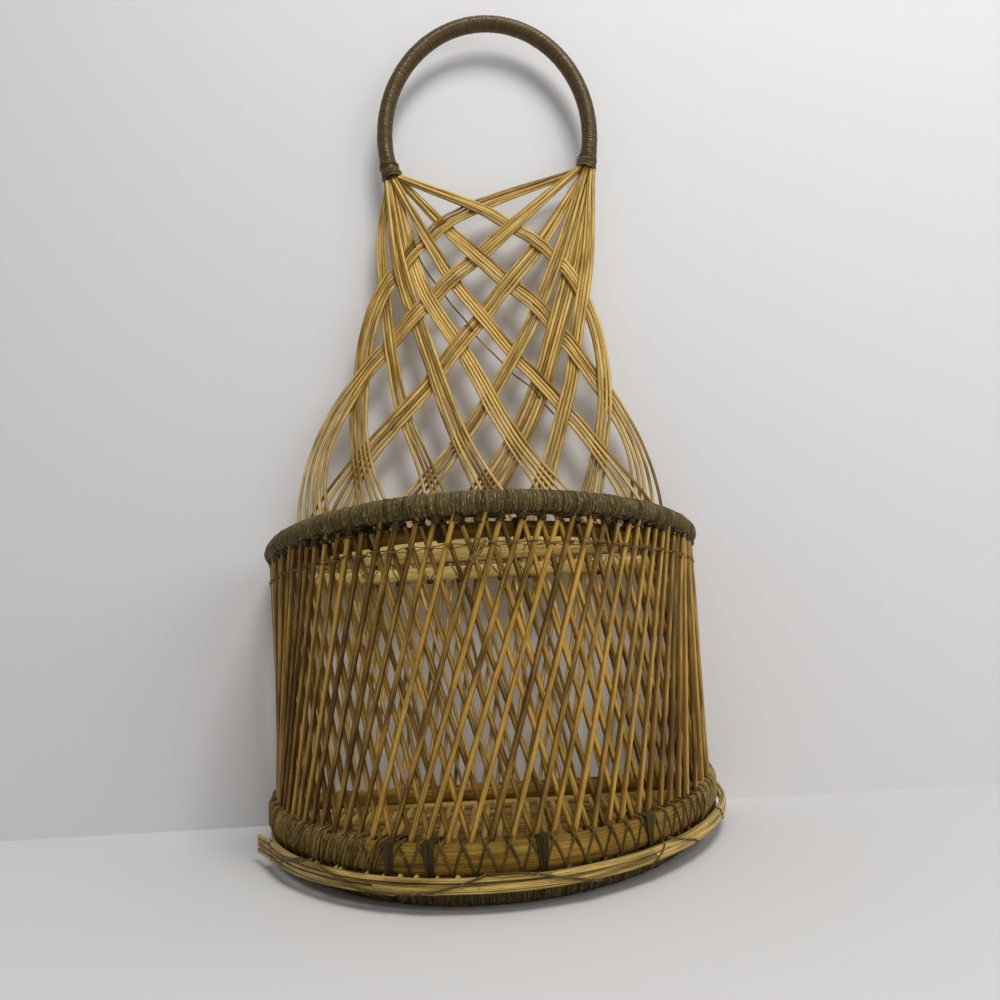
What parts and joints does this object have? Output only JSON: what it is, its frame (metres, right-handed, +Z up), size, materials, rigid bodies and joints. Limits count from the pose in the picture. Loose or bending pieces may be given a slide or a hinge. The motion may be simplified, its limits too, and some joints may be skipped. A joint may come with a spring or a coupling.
{
  "type": "wicker wall basket",
  "caption": "Hanging cane basket with a woven fan back that gathers into a bound loop handle, and a half-round openwork pocket.",
  "frame": {"origin": "centre of the object's box in plan, at the level the foot roll stands on", "axes": "+Z up, -Y the way the pocket bulges, +Y to the wall it hangs on, +X to the viewer's right"},
  "size_m": [0.2488, 0.1602, 0.5071],
  "materials": {
    "cane_gold": "satin split cane",
    "cane_brown": "aged satin cane",
    "pale_cane": "pale matt flat cane",
    "binder": "dark olive binding cane, matt",
    "twine": "dark thin binder, matt"
  },
  "bodies": {
    "root": {"back_base_strip_inner": "pale_cane", "back_base_strip_outer": "pale_cane", "back_rim_strip_inner": "pale_cane", "back_rim_strip_outer": "pale_cane", "back_stitch": "twine", "back_tie_strip": "pale_cane", "base_band_lower": "pale_cane", "base_band_upper": "pale_cane", "base_lashing_1": "twine", "base_lashing_2": "twine", "base_lashing_3": "twine", "base_lashing_4": "twine", "base_ring": "pale_cane", "base_stitch": "twine", "floor_across": "pale_cane", "floor_lengthwise": "pale_cane", "foot_roll": "binder", "front_inner_canes_1": "cane_brown", "front_inner_canes_2": "cane_brown", "front_inner_canes_3": "cane_brown", "front_inner_canes_4": "cane_brown", "front_inner_canes_5": "cane_brown", "front_inner_canes_6": "cane_brown", "front_outer_canes_1": "cane_brown", "front_outer_canes_2": "cane_brown", "front_outer_canes_3": "cane_brown", "front_outer_canes_4": "cane_brown", "front_outer_canes_5": "cane_brown", "front_outer_canes_6": "cane_brown", "handle_core": "cane_gold", "handle_wrap": "binder", "ribbon_left_1": "cane_gold", "ribbon_left_2": "cane_gold", "ribbon_left_3": "cane_gold", "ribbon_left_4": "cane_gold", "ribbon_left_5": "cane_gold", "ribbon_left_6": "cane_gold", "ribbon_right_1": "cane_gold", "ribbon_right_2": "cane_gold", "ribbon_right_3": "cane_gold", "ribbon_right_4": "cane_gold", "ribbon_right_5": "cane_gold", "ribbon_right_6": "cane_gold", "rim_core": "cane_brown", "rim_inner_hoop": "cane_brown", "rim_lashing_1": "twine", "rim_lashing_2": "twine", "rim_lashing_3": "twine", "rim_lashing_4": "twine", "rim_wrap": "binder", "stray_cane": "cane_gold", "tie_twine_lower": "twine", "tie_twine_upper": "twine"}
  },
  "joints": []
}
